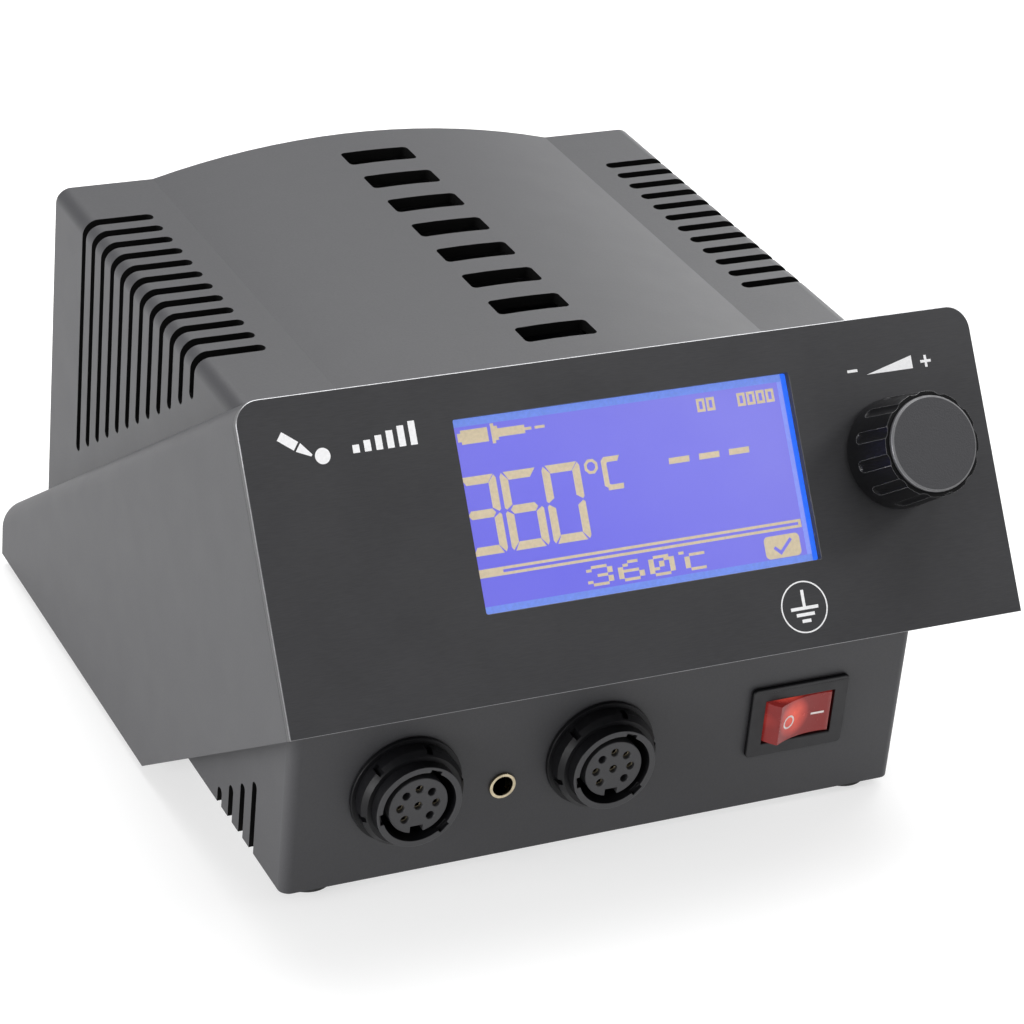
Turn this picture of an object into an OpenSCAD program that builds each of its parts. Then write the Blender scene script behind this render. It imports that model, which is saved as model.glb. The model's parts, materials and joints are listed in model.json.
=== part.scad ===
// Soldering iron station: sloping display hood on a vented power-supply housing.
// Millimetres. Origin on the table under the middle of the station, +X right,
// +Y towards the rear panel, +Z up.

/* [Overall] */
// Width over the cheeks of the hood
overall_w = 145; // [140:1:150]
// Depth from the fascia's lower edge to the mains inlet's flange
overall_d = 150; // [148:1:156]

/* [Housing] */
// Width over the two side walls
body_w = 126.6; // [122:0.2:128]
// Height of the flat strips beside the arched roof
strip_z = 83.5; // [82:0.5:85]
// Height of the housing's lower edge above the table
body_z = 2; // [1.5:0.5:3]
// Half the width of the arched roof between its creases
crease_half = 43.3; // [40:0.1:46]
// Rise of the arch above the creases
arch_rise = 5.6; // [4:0.1:7]
// Radius along the top outer edges
edge_r = 3; // [3:0.5:6]
// Wall thickness of the mouldings
wall = 2.2; // [2:0.1:3]
// How far the lower front wall stands behind the fascia's lower edge
front_recess = 19.8; // [18:0.2:22]

/* [Hood and fascia] */
// Lean of the fascia from the vertical, degrees
lean = 35; // [33:0.5:37]
// Height of the fascia measured along its slope
fascia_len = 57.5; // [56:0.5:58]
// Height of the fascia's lower edge
fascia_z = 48.8; // [48:0.2:50]
// Thickness of the aluminium fascia
fascia_t = 1.5; // [1:0.1:2]
// Radius of the fascia's two top corners
fascia_r = 4.5; // [3:0.5:6]
// How far the cheeks reach behind the housing's rear edge
cheek_past = 1.4; // [0:0.1:2]
// Width of the display window
window_w = 66.5; // [64:0.5:68]
// Height of the display window
window_h = 34.1; // [32:0.1:36]
// Distance from the fascia's top edge down to the window
window_top = 7.95; // [7:0.05:9]

/* [Vents] */
// Spacing of the wrap-round vent slots
slot_pitch = 5.306; // [5:0.05:5.4]
// Width of a vent slot on the side walls
slot_w = 2.1; // [1.5:0.1:2.2]
// Width of a vent slot on the roof
slot_roof_w = 2.5; // [1.9:0.1:2.6]
// Number of roof vents
roof_vents = 8; // [6:1:8]
// Spacing of the roof vents
roof_pitch = 11.61; // [11:0.01:11.8]

/* [Controls] */
// Knob centre, right of the middle
knob_x = 51.85; // [50:0.05:53]
// Knob centre, down from the fascia's top edge
knob_down = 25.4; // [25:0.1:27]
// Radius of the knob's skirt
knob_r = 10.2; // [9:0.1:10.5]
// Height of the knob's rim above the fascia
knob_h = 13.7; // [13:0.1:16]
// Travel of the knob when it is pressed
press_travel = 0.6; // [0.4:0.1:0.8]
// Rocker switch centre, right of the middle
switch_x = 39.8; // [38:0.1:41]
// Rocker switch centre height
switch_z = 20.6; // [20:0.1:22]
// Half of the rocker's swing, degrees
rocker_tilt = 10; // [8:1:11]

/* [Front sockets] */
// Left and right socket centres
socket_xs = [-40.6, -1.7];
// Socket centre height
socket_z = 20.4; // [20:0.1:22]
// Earth jack centre
jack_x = -21.1; // [-22:0.1:-20]
// Earth jack height
jack_z = 17.1; // [16:0.1:19]

/* [Rear panel] */
// Mains inlet centre, right of the middle
inlet_x = 32; // [28:1:34]
// Mains inlet centre height
inlet_z = 33; // [31:1:36]
// Interface socket centre
remote_x = -38; // [-40:1:-34]
// Interface socket height
remote_z = 24; // [22:1:30]

/* [Hidden] */
$fn = 64;

// Places shared by several pieces
front_y = -overall_d / 2;                    // fascia's lower edge
wall_y = front_y + front_recess;             // outer face of the lower front wall
rear_y = front_y + overall_d - 1;            // rear edge of the housing and the hood
panel_y = rear_y - 2;                        // outer face of the rear panel
panel_t = 1.6;                               // thickness of the rear panel
base_t = 2;                                  // thickness of the base plate
base_z = body_z + 0.2;                       // underside of the base plate
floor_z = base_z + base_t;                   // top of the base plate
half_w = body_w / 2;
inner_half = half_w - wall;
arch_r = (crease_half * crease_half + arch_rise * arch_rise) / (2 * arch_rise);
seam = 0.25;                                 // gap between neighbouring mouldings
tub_depth = 12;                              // how far behind the fascia the housing starts
hood_wall_back = fascia_t + wall;            // back of the hood's front wall
board_depth = 8.5;                           // front face of the control board
board_t = 1.6;
window_mid = fascia_len - window_top - window_h / 2;
knob_up = fascia_len - knob_down;
clear = 0.05;                                // running clearance of a shaft in its hole
snug = 0.03;                                 // gap round a piece that sits still in its hole
far = 300;

// Height of the hood's upper and lower faces at a given y
function hood_top_z(y) =
    fascia_z + fascia_len * cos(lean) - (y - front_y - fascia_len * sin(lean)) * tan(lean);
function hood_low_z(y) = fascia_z - (y - front_y) * tan(lean);

// Places children on the fascia: x right, y up the slope, z outwards from its face
module on_fascia(x = 0, up = 0, out = 0) {
    translate([0, front_y, fascia_z])
        rotate([90 - lean, 0, 0])
            translate([x, up, out]) children();
}

// Turns children so that their +Z points out of the front wall (towards -Y)
module facing_front(x, y, z) {
    translate([x, y, z]) rotate([90, 0, 0]) children();
}

// Turns children so that their +Z points out of the rear panel (towards +Y)
module facing_rear(x, y, z) {
    translate([x, y, z]) rotate([-90, 0, 0]) children();
}

// Flat rectangle with rounded corners, centred
module rounded_rect(w, h, r) {
    square([w - 2 * r, h], center = true);
    square([w, h - 2 * r], center = true);
    for (sx = [-1, 1], sy = [-1, 1])
        translate([sx * (w / 2 - r), sy * (h / 2 - r)]) circle(r = r);
}

// Block with rounded vertical edges, standing on z = 0
module rounded_block(w, h, t, r) {
    linear_extrude(t) rounded_rect(w, h, r);
}

// Pan-head screw along +Z, its head's seat at z = 0 and its shank below
module pan_screw(shank_r, shank_len, head_r, head_h) {
    difference() {
        union() {
            cylinder(r = head_r, h = head_h * 0.55);
            translate([0, 0, head_h * 0.55])
                cylinder(r1 = head_r, r2 = head_r * 0.7, h = head_h * 0.45, $fn = 48);
        }
        translate([0, 0, head_h * 0.5 + 1]) cube([head_r * 1.2, head_r * 0.25, 2], center = true);
        translate([0, 0, head_h * 0.5 + 1]) cube([head_r * 0.25, head_r * 1.2, 2], center = true);
    }
    translate([0, 0, -shank_len]) cylinder(r = shank_r, h = shank_len + 0.01);
}

// ---- housing ----------------------------------------------------------------

// Cross-section of the housing seen from the front, drawn a given distance inside its skin
module body_section(inset) {
    w = half_w - inset;
    r = edge_r - inset;
    top = strip_z - inset;
    translate([-w, -10]) square([2 * w, top - r + 10]);
    translate([-(w - r), 0]) square([2 * (w - r), top]);
    for (side = [-1, 1]) translate([side * (w - r), top - r]) circle(r = r);
    intersection() {
        translate([0, strip_z + arch_rise - arch_r]) circle(r = arch_r - inset, $fn = 200);
        translate([-crease_half, strip_z - 20]) square([2 * crease_half, 40]);
    }
}

// Plan of the housing with its two rounded front corners, a given distance inside its skin
module body_plan(inset, y_end) {
    r = max(2 - inset, 0.6);
    x = half_w - inset;
    y = wall_y + inset;
    translate([-x, y + r]) square([2 * x, y_end - y - r]);
    translate([-(x - r), y]) square([2 * (x - r), r + 1]);
    for (side = [-1, 1]) translate([side * (x - r), y + r]) circle(r = r);
}

// Everything inside the housing's skin, from a given height up; front_gap moves its sloping
// front, which the display hood covers, outwards
module body_volume(inset, y_end, z_low, front_gap) {
    difference() {
        intersection() {
            translate([0, y_end, 0]) rotate([90, 0, 0])
                linear_extrude(y_end - front_y + 20) body_section(inset);
            translate([0, 0, z_low]) linear_extrude(150) body_plan(inset, y_end);
        }
        on_fascia(0, 0, front_gap - tub_depth)
            translate([-far / 2, -100, 0]) cube([far, far, 100]);
    }
}

// Vent slots that run down each side wall and turn over the top edge
module upper_slots() {
    slots = 12;
    first_y = front_y + 73.9;
    slot_top_x = 50.6;
    wide_x = half_w - edge_r;                 // where the slot begins to narrow
    below = 7.7;                              // gap from the hood's upper face
    for (side = [-1, 1], i = [0:slots - 1]) {
        y = first_y + i * slot_pitch;
        low = hood_top_z(y) + below;
        translate([0, y, low + slot_w / 2]) linear_extrude(100)
            polygon([
                [side * slot_top_x, -slot_roof_w / 2], [side * wide_x, -slot_roof_w / 2],
                [side * (half_w - 0.5), -slot_w / 2], [side * (half_w + 5), -slot_w / 2],
                [side * (half_w + 5), slot_w / 2], [side * (half_w - 0.5), slot_w / 2],
                [side * wide_x, slot_roof_w / 2], [side * slot_top_x, slot_roof_w / 2]
            ]);
        translate([side * slot_top_x, y, strip_z])
            cylinder(d = slot_roof_w, h = 10, center = true);
        translate([side * half_w, y, low + slot_w / 2]) rotate([0, 90, 0])
            cylinder(d = slot_w, h = 10, center = true);
    }
}

// Vent slots under the hood's cheeks, open at the housing's lower edge
module lower_slots() {
    slots = 4;
    first_y = front_y + 34.7;
    below = 8.8;                              // gap from the hood's lower face
    for (side = [-1, 1], i = [0:slots - 1]) {
        y = first_y + i * slot_pitch;
        top = hood_low_z(y) - below;
        translate([side * half_w, y, top / 2]) cube([10, slot_w, top], center = true);
        translate([side * half_w, y, top]) rotate([0, 90, 0])
            cylinder(d = slot_w, h = 10, center = true);
    }
}

// Vents along the middle of the roof
module roof_slots() {
    first_y = front_y + 55.8;
    for (i = [0:roof_vents - 1])
        translate([0, first_y + i * roof_pitch, strip_z]) rounded_block(14.5, 5.9, 20, 1);
}

pillar_x = inner_half - 3.5;
pillar_ys = [front_y + 62, front_y + 136];
rear_screw_zs = [20, 74];
foot_x = 56;
foot_ys = [front_y + 26.4, front_y + 122];
// Middle of each hood screw: depth behind the fascia at half its height
hood_screw_depths = [50, 95];
function hood_screw_y(depth) = front_y + 28 * sin(lean) + depth * cos(lean);
function hood_screw_z(depth) = fascia_z + 28 * cos(lean) - depth * sin(lean);

module housing_cover() color([0.27, 0.27, 0.28]) difference() {
    union() {
        difference() {
            body_volume(0, rear_y, body_z, 0);
            body_volume(wall, rear_y + 10, -5, 5);
            // opening towards the hood, above the front wall
            translate([-inner_half + 1, wall_y - 5, 37]) cube([2 * inner_half - 2, 30, 46]);
        }
        for (side = [-1, 1], y = pillar_ys)
            translate([side * pillar_x, y, floor_z]) cylinder(r = 4, h = 24);
        for (side = [-1, 1], z = rear_screw_zs)
            facing_rear(side * (pillar_x + 0.2), panel_y - panel_t - 9, z) cylinder(r = 3.6, h = 9);
    }
    upper_slots();
    lower_slots();
    roof_slots();
    for (side = [-1, 1], y = pillar_ys)
        translate([side * pillar_x, y, floor_z - 1]) cylinder(r = 1.3, h = 12);
    for (side = [-1, 1], z = rear_screw_zs)
        facing_rear(side * (pillar_x + 0.2), panel_y - panel_t - 8, z) cylinder(r = 1.3, h = 12);
    for (side = [-1, 1], d = hood_screw_depths)
        translate([side * half_w, hood_screw_y(d), hood_screw_z(d)]) rotate([0, 90, 0])
            cylinder(r = 1.7, h = 10, center = true);
    // cut-outs for the sockets, the earth jack and the switch
    for (x = socket_xs) facing_front(x, wall_y + 5, socket_z) cylinder(r = 8.1, h = 10);
    facing_front(jack_x, wall_y + 5, jack_z) cylinder(r = 2.48, h = 10);
    facing_front(switch_x, wall_y + 5, switch_z) rounded_block(19.4, 13.2, 10, 0.8);
}

module base_plate() color([0.62, 0.63, 0.64]) difference() {
    inset = wall + 0.3;
    translate([0, 0, base_z]) linear_extrude(base_t) body_plan(inset, panel_y - 0.1);
    for (side = [-1, 1], y = pillar_ys)
        translate([side * pillar_x, y, 0]) cylinder(r = 1.7, h = 10);
    for (x = transformer_holes_x, y = transformer_holes_y)
        translate([x, y, 0]) cylinder(r = 1.7, h = 10);
    for (x = board_holes_x, y = board_holes_y) translate([x, y, 0]) cylinder(r = 1.7, h = 10);
    // air inlets under the transformer
    for (i = [-3:3]) translate([transformer_x + i * 7, transformer_y, 0])
        rounded_block(2.4, 30, 10, 1);
}

module rubber_feet() color([0.09, 0.09, 0.09])
    for (side = [-1, 1], y = foot_ys) translate([side * foot_x, y, 0])
        difference() {
            union() {
                cylinder(r1 = 4.8, r2 = 5, h = 0.3, $fn = 48);
                translate([0, 0, 0.3]) cylinder(r = 5, h = body_z - 0.35);
                // the neck clears the housing's front wall
                translate([0, 0, 1]) cylinder(r = 4, h = base_z - 1);
            }
            translate([0, 0, -1]) cylinder(r = 2, h = 1.8);
        }

module base_screws() color([0.7, 0.7, 0.72])
    for (side = [-1, 1], y = pillar_ys)
        translate([side * pillar_x, y, base_z]) mirror([0, 0, 1]) pan_screw(1.25, 11, 2.8, 1.5);

// ---- rear panel ---------------------------------------------------------------

module rear_panel() color([0.2, 0.2, 0.21]) difference() {
    intersection() {
        translate([0, panel_y, 0]) rotate([90, 0, 0]) linear_extrude(panel_t)
            body_section(wall + 0.2);
        translate([-far / 2, -far / 2, floor_z]) cube([far, far, 150]);
    }
    facing_rear(inlet_x, panel_y - 5, inlet_z) rounded_block(27.6, 31.6, 10, 1);
    facing_rear(remote_x, panel_y - 5, remote_z) cylinder(r = 7.1, h = 10);
    for (side = [-1, 1], z = rear_screw_zs)
        facing_rear(side * (pillar_x + 0.2), panel_y - 5, z) cylinder(r = 1.6, h = 10);
}

module rear_panel_screws() color([0.7, 0.7, 0.72])
    for (side = [-1, 1], z = rear_screw_zs)
        facing_rear(side * (pillar_x + 0.2), panel_y, z) pan_screw(1.25, 8, 2.7, 1.6);

// Mains inlet with the fuse drawer below its socket
inlet_up = 4.5;                              // socket's middle above the inlet's middle
drawer_w = 21;
drawer_h = 6.4;
drawer_down = 11.4;                          // drawer's middle below the inlet's middle
drawer_l = 27;
inlet_deep = 30;

module mains_inlet() color([0.08, 0.08, 0.08])
    facing_rear(inlet_x, panel_y, inlet_z) difference() {
        union() {
            rounded_block(31, 35, 2.6, 1.5);
            translate([0, 0, -inlet_deep]) rounded_block(27, 31, inlet_deep + 1, 0.8);
        }
        // the socket cavity, narrowed at its two upper corners
        translate([0, -inlet_up, -16]) linear_extrude(30)
            polygon([[-12, 8], [12, 8], [12, -3.5], [7.5, -8], [-7.5, -8], [-12, -3.5]]);
        // the drawer's well
        translate([0, drawer_down, 3 - inlet_deep / 2])
            cube([drawer_w + 0.6, drawer_h + 0.6, inlet_deep], center = true);
        // slots that hold the three blades
        for (p = inlet_blades) translate([p[0], p[1] - inlet_up, -20])
            cube([blade_w + 0.02, blade_h + 0.02, 60], center = true);
    }

blade_w = 2;
blade_h = 4;
inlet_blades = [[-7, 2], [7, 2], [0, -2]];

module inlet_pins() color([0.78, 0.7, 0.45])
    facing_rear(inlet_x, panel_y, inlet_z) for (p = inlet_blades)
        translate([p[0], p[1] - inlet_up, -22]) cube([blade_w, blade_h, 40], center = true);

module fuse_drawer() color([0.1, 0.1, 0.1])
    facing_rear(inlet_x, panel_y, inlet_z) translate([0, drawer_down, 0]) difference() {
        translate([0, 0, 3 - drawer_l]) rounded_block(drawer_w, drawer_h, drawer_l, 0.4);
        // trough for the fuse, open at the top, and the finger notch in the face
        translate([0, -2.2, -12]) cube([5.8, 8, 20.8], center = true);
        translate([0, drawer_h / 2 - 0.8, 3.4]) rotate([0, 90, 0])
            cylinder(r = 1.2, h = 9, center = true);
    }

module fuse() color([0.85, 0.87, 0.88])
    facing_rear(inlet_x, panel_y, inlet_z) translate([0, drawer_down - 0.8, -12]) {
        translate([0, 0, -5]) cylinder(r = 2.3, h = 10);
        for (end = [-1, 1]) translate([0, 0, end * 7.4]) cylinder(r = 2.5, h = 5, center = true);
    }

module interface_socket() color([0.55, 0.56, 0.58])
    facing_rear(remote_x, panel_y, remote_z) difference() {
        union() {
            cylinder(r = 8.6, h = 1);
            cylinder(r = 7.4, h = 2.6);
            translate([0, 0, -7]) cylinder(r = 7, h = 7.1);
        }
        translate([0, 0, -20]) cylinder(r = 5.8, h = 40);
    }

module interface_insert() color([0.12, 0.12, 0.12])
    facing_rear(remote_x, panel_y, remote_z) difference() {
        translate([0, 0, -6.5]) cylinder(r = 5.8 - snug, h = 7);
        for (a = [0:45:270]) rotate([0, 0, a - 45]) translate([3.5, 0, -2])
            cylinder(r = 0.75, h = 5, $fn = 24);
        translate([0, 5.8, 0]) cube([2.4, 2, 3], center = true);
    }

// ---- hood ---------------------------------------------------------------------

// Outline of the hood's band seen square to the fascia: round at the top corners only
module hood_outline(inset) {
    x = overall_w / 2 - inset;
    r = fascia_r - min(inset, fascia_r - 0.8);
    translate([-x, inset]) square([2 * x, fascia_len - 2 * inset - r]);
    translate([-(x - r), inset]) square([2 * (x - r), fascia_len - 2 * inset]);
    for (side = [-1, 1]) translate([side * (x - r), fascia_len - inset - r]) circle(r = r);
}

// The hood's band from a given depth behind the fascia down to the rear and the table side
module hood_band(inset, depth) {
    intersection() {
        on_fascia(0, 0, -depth - 200) linear_extrude(200) hood_outline(inset);
        translate([-far / 2, front_y - 10, body_z + inset])
            cube([far, rear_y + cheek_past - inset - front_y + 10, 200]);
    }
}

control_holes = [[-44.5, 8], [-44.5, 50], [61.5, 8], [61.5, 50]];

module front_hood() color([0.29, 0.29, 0.3]) difference() {
    union() {
        difference() {
            hood_band(0, fascia_t);
            hood_band(wall, hood_wall_back);
        }
        for (h = control_holes) on_fascia(h[0], h[1], -board_depth)
            cylinder(r = 3, h = board_depth - fascia_t - 1);
        for (side = [-1, 1], d = hood_screw_depths)
            translate([side * (half_w + 4.2), hood_screw_y(d), hood_screw_z(d)])
                rotate([0, 90, 0]) cylinder(r = 3.6, h = 8.4, center = true);
    }
    body_volume(-seam, rear_y + 10, -5, seam);
    for (h = control_holes) on_fascia(h[0], h[1], -board_depth - 1) cylinder(r = 1.1, h = 6);
    for (side = [-1, 1], d = hood_screw_depths)
        translate([side * half_w, hood_screw_y(d), hood_screw_z(d)]) rotate([0, 90, 0])
            cylinder(r = 1.3, h = 13, center = true);
    on_fascia(0, window_mid, -10) rounded_block(window_w + 5, window_h + 5, 12, 1);
    on_fascia(knob_x, knob_up, -10) cylinder(r = 3.7, h = 12);
}

module hood_screws() color([0.7, 0.7, 0.72])
    for (side = [-1, 1], d = hood_screw_depths)
        translate([side * inner_half, hood_screw_y(d), hood_screw_z(d)])
            rotate([0, -90 * side, 0]) pan_screw(1.25, 7, 2.7, 1.6);

module fascia_plate() color([0.07, 0.07, 0.08]) difference() {
    on_fascia(0, 0, -fascia_t) linear_extrude(fascia_t) hood_outline(0);
    on_fascia(0, window_mid, -5) rounded_block(window_w, window_h, 10, 0.4);
    on_fascia(knob_x, knob_up, -5) cylinder(r = 3.7, h = 10);
}

module display_lens() color([0.75, 0.8, 0.95, 0.4])
    on_fascia(0, window_mid, -fascia_t - 0.7) rounded_block(window_w + 4, window_h + 4, 0.7, 0.8);

module lcd_cell() color([0.35, 0.35, 0.9])
    on_fascia(0, window_mid, -fascia_t - 2.6) {
        rounded_block(window_w + 3.6, window_h + 3.6, 1.8, 0.3);
    }

lcd_frame_w = window_w + 12;
lcd_frame_h = window_h + 11;

module lcd_frame() color([0.35, 0.36, 0.37])
    on_fascia(0, window_mid, -board_depth) difference() {
        depth = board_depth - hood_wall_back;
        rounded_block(lcd_frame_w, lcd_frame_h, depth, 0.8);
        translate([0, 0, -1]) rounded_block(window_w + 3.8, window_h + 3.8, 20, 0.3);
    }

module backlight() color([0.9, 0.92, 0.95])
    on_fascia(0, window_mid, -board_depth)
        rounded_block(window_w + 3.4, window_h + 3.4, board_depth - fascia_t - 2.6, 0.3);

module control_board() color([0.05, 0.3, 0.15])
    difference() {
        union() {
            on_fascia(8.5, fascia_len / 2, -board_depth - board_t)
                rounded_block(113, 48, board_t, 1);
            // microcontroller, memory and the ribbon header on the back
            on_fascia(-10, 30, -board_depth - board_t - 1.2) rounded_block(14, 14, 1.25, 0.4);
            on_fascia(20, 34, -board_depth - board_t - 1.2) rounded_block(8, 5, 1.25, 0.3);
            on_fascia(0, 12, -board_depth - board_t - 6) rounded_block(26, 6, 6.05, 0.5);
        }
        for (h = control_holes) on_fascia(h[0], h[1], -board_depth - 3) cylinder(r = 1.5, h = 6);
    }

module control_board_screws() color([0.7, 0.7, 0.72])
    for (h = control_holes) on_fascia(h[0], h[1], -board_depth - board_t)
        mirror([0, 0, 1]) pan_screw(1.05, 6, 2.5, 1.5);

// ---- rotary encoder and knob ----------------------------------------------------

shaft_r = 3;
shaft_in = 4 + press_travel;                 // inner end of the shaft, behind the fascia
cap_r = 8.7;
cap_t = 2;
cap_seat = 12.65;                            // underside of the cap above the fascia
knob_gap = 0.9;                              // knob's skirt above the fascia
knob_taper = 0.65;                           // how much smaller the knob's rim is than its skirt
flute_r = 2.2;
flute_depth = 0.5;

module encoder_body() color([0.45, 0.46, 0.48])
    on_fascia(knob_x, knob_up) difference() {
        union() {
            translate([0, 0, -board_depth])
                rounded_block(12.4, 13.4, board_depth - hood_wall_back, 0.5);
            translate([0, 0, -hood_wall_back - 0.01]) cylinder(r = 3.5, h = hood_wall_back + 5);
        }
        translate([0, 0, -20]) cylinder(r = shaft_r + clear, h = 40);
    }

module encoder_nut() color([0.72, 0.72, 0.74])
    on_fascia(knob_x, knob_up) difference() {
        union() {
            cylinder(r = 5.8, h = 0.5);
            translate([0, 0, 0.5]) cylinder(r = 5.6, h = 2.2, $fn = 6);
        }
        translate([0, 0, -1]) cylinder(r = 3.5 + snug, h = 10);
    }

module encoder_plunger() color([0.2, 0.2, 0.2])
    on_fascia(knob_x, knob_up) translate([0, 0, -shaft_in - 2.4]) cylinder(r = 2.4, h = 2.4);

module encoder_shaft() color([0.75, 0.75, 0.77])
    on_fascia(knob_x, knob_up) translate([0, 0, -shaft_in]) difference() {
        cylinder(r = shaft_r, h = shaft_in + 12);
        // the D-shaped flat
        translate([1.6, -5, shaft_in + 6]) cube([5, 10, 10]);
    }

module knob() color([0.06, 0.06, 0.065])
    on_fascia(knob_x, knob_up) difference() {
        union() {
            translate([0, 0, knob_gap]) cylinder(r = knob_r, h = 1.6);
            translate([0, 0, knob_gap + 1.6])
                cylinder(r1 = knob_r, r2 = knob_r - knob_taper, h = knob_h - knob_gap - 1.6);
        }
        // hollow over the nut, bore for the shaft and recess for the cap
        translate([0, 0, -1]) cylinder(r = 7.6, h = 7);
        difference() {
            translate([0, 0, -1]) cylinder(r = shaft_r + snug, h = 13);
            translate([1.6 + snug, -5, 6]) cube([5, 10, 10]);
        }
        translate([0, 0, cap_seat]) cylinder(r = cap_r + 0.06, h = 5);
        // twelve finger flutes, round at their lower ends
        for (a = [0:30:330]) rotate([0, 0, a + 10])
            translate([knob_r + flute_r - flute_depth, 0, 5.2])
                rotate([0, -atan(knob_taper / (knob_h - knob_gap - 1.6)), 0]) {
                    cylinder(r = flute_r, h = 20);
                    sphere(r = flute_r);
                }
    }

module knob_cap() color([0.13, 0.13, 0.14])
    on_fascia(knob_x, knob_up) translate([0, 0, cap_seat]) {
        cylinder(r = cap_r, h = cap_t - 0.25);
        translate([0, 0, cap_t - 0.25])
            cylinder(r1 = cap_r, r2 = cap_r - 0.25, h = 0.25, $fn = 96);
    }

// ---- tool sockets ---------------------------------------------------------------

barrel_r = 8.3;
barrel_in_r = 7.1;
barrel_h = 6.5;
insert_r = 5.75;
pin_circle = 3.5;
pin_r = 0.8;

module socket_shell(x) color([0.08, 0.08, 0.085])
    facing_front(x, wall_y, socket_z) difference() {
        union() {
            cylinder(r = 10.85, h = 0.9);
            cylinder(r = barrel_r, h = barrel_h);
            translate([0, 0, -10]) cylinder(r = 8, h = 10.1);
        }
        translate([0, 0, -4]) cylinder(r = barrel_in_r, h = 30);
        translate([0, 0, -20]) cylinder(r = insert_r, h = 30);
        // three bayonet notches inside the rim
        for (a = [68, 190, 314]) rotate([0, 0, a]) translate([barrel_in_r, 0, barrel_h])
            cube([1.2, 2.2, 2], center = true);
    }

module socket_ring(x) color([0.06, 0.06, 0.065])
    facing_front(x, wall_y, socket_z) translate([0, 0, 0.9]) difference() {
        union() {
            cylinder(r = 10, h = 2.4);
            translate([0, 0, 2.4]) cylinder(r1 = 10, r2 = 9.2, h = 1, $fn = 96);
        }
        translate([0, 0, -1]) cylinder(r = barrel_r + snug, h = 10);
        for (a = [0:60:300]) rotate([0, 0, a + 15]) translate([10, 0, 1.9])
            cube([1.6, 1.2, 2.4], center = true);
    }

// Holes of the insert: seven round the circle and one in the middle
function pin_places() = concat([[0, 0]],
    [for (a = [-45:45:225]) [pin_circle * cos(a), pin_circle * sin(a)]]);

module socket_insert(x) color([0.19, 0.19, 0.2])
    facing_front(x, wall_y, socket_z) difference() {
        translate([0, 0, -9]) cylinder(r = insert_r - snug, h = 9 + barrel_h - 0.5);
        for (p = pin_places()) translate([p[0], p[1], -10]) cylinder(r = pin_r, h = 30);
        translate([0, -insert_r, barrel_h]) cube([2.5, 3, 8], center = true);
    }

// Contacts sit in some of the holes: each list gives the filled ones' places in pin_places()
left_filled = [0, 2, 4, 6, 7];
right_filled = [0, 2, 3, 4, 6, 7];

module socket_contacts(x, filled) color([0.83, 0.66, 0.32])
    facing_front(x, wall_y, socket_z) for (i = filled) let (p = pin_places()[i])
        translate([p[0], p[1], -13]) difference() {
            cylinder(r = pin_r - snug, h = 18.2);
            translate([0, 0, 6]) cylinder(r = 0.55, h = 20);
            translate([0, 0, 16]) rotate([0, 0, 35]) cube([4, 0.5, 9], center = true);
        }

module earth_jack() color([0.83, 0.66, 0.32])
    facing_front(jack_x, wall_y, jack_z) difference() {
        union() {
            cylinder(r = 2.6, h = 0.5);
            translate([0, 0, -16]) cylinder(r = 2.45, h = 16.1);
        }
        translate([0, 0, -13]) cylinder(r = 2, h = 20);
    }

module earth_jack_nut() color([0.72, 0.72, 0.74])
    facing_front(jack_x, wall_y + wall, jack_z) difference() {
        translate([0, 0, -3]) cylinder(r = 4.6, h = 3, $fn = 6);
        translate([0, 0, -4]) cylinder(r = 2.45 + snug, h = 6);
    }

// ---- rocker switch ----------------------------------------------------------------

pivot_back = 3.2;                            // pivot behind the front wall's face
rocker_r = 8.0;                              // rounded ends, centred on the pivot
rocker_h = 8.4;
rocker_corner = 49.4;                        // angle of the face's two ends from straight ahead
pivot_pin_r = 1.4;

module switch_housing() color([0.06, 0.06, 0.065])
    facing_front(switch_x, wall_y, switch_z) difference() {
        union() {
            rounded_block(20.7, 14.9, 1, 1);
            translate([0, 0, -15]) rounded_block(19, 12.8, 15.5, 0.6);
        }
        // well for the rocker and the holes for its pivot
        translate([0, 0, -pivot_back]) rotate([90, 0, 0])
            cylinder(r = rocker_r + 0.45, h = rocker_h + 0.8, center = true, $fn = 96);
        translate([0, 0, -pivot_back]) rotate([90, 0, 0])
            cylinder(r = pivot_pin_r + clear, h = 12, center = true);
    }

module switch_rocker() color([0.75, 0.08, 0.06])
    facing_front(switch_x, wall_y, switch_z) translate([0, 0, -pivot_back])
        rotate([90, rocker_tilt, 0]) {
            face_y = rocker_r * cos(rocker_corner);
            face_x = rocker_r * sin(rocker_corner);
            hollow = 1;
            hollow_r = (face_x * face_x + hollow * hollow) / (2 * hollow);
            linear_extrude(rocker_h, center = true) difference() {
                circle(r = rocker_r, $fn = 96);
                translate([-20, -40 - 2.4]) square([40, 40]);
                translate([-20, face_y]) square([40, 40]);
                translate([0, face_y - hollow + hollow_r]) circle(r = hollow_r, $fn = 200);
            }
            cylinder(r = pivot_pin_r, h = rocker_h + 2.4, center = true);
        }

module switch_terminals() color([0.78, 0.7, 0.45])
    facing_front(switch_x, wall_y, switch_z) for (x = [-6, 0, 6], up = [-3, 3])
        translate([x, up, -15 - 3.5]) cube([0.8, 4.6, 7], center = true);

// ---- power supply -------------------------------------------------------------------

transformer_x = -20;
transformer_y = front_y + 114;
core_w = 62;
core_h = 52;
core_t = 30;
core_z = floor_z + 2.2;
transformer_holes_x = [transformer_x - 36, transformer_x + 36];
transformer_holes_y = [transformer_y - 9, transformer_y + 9];

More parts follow.
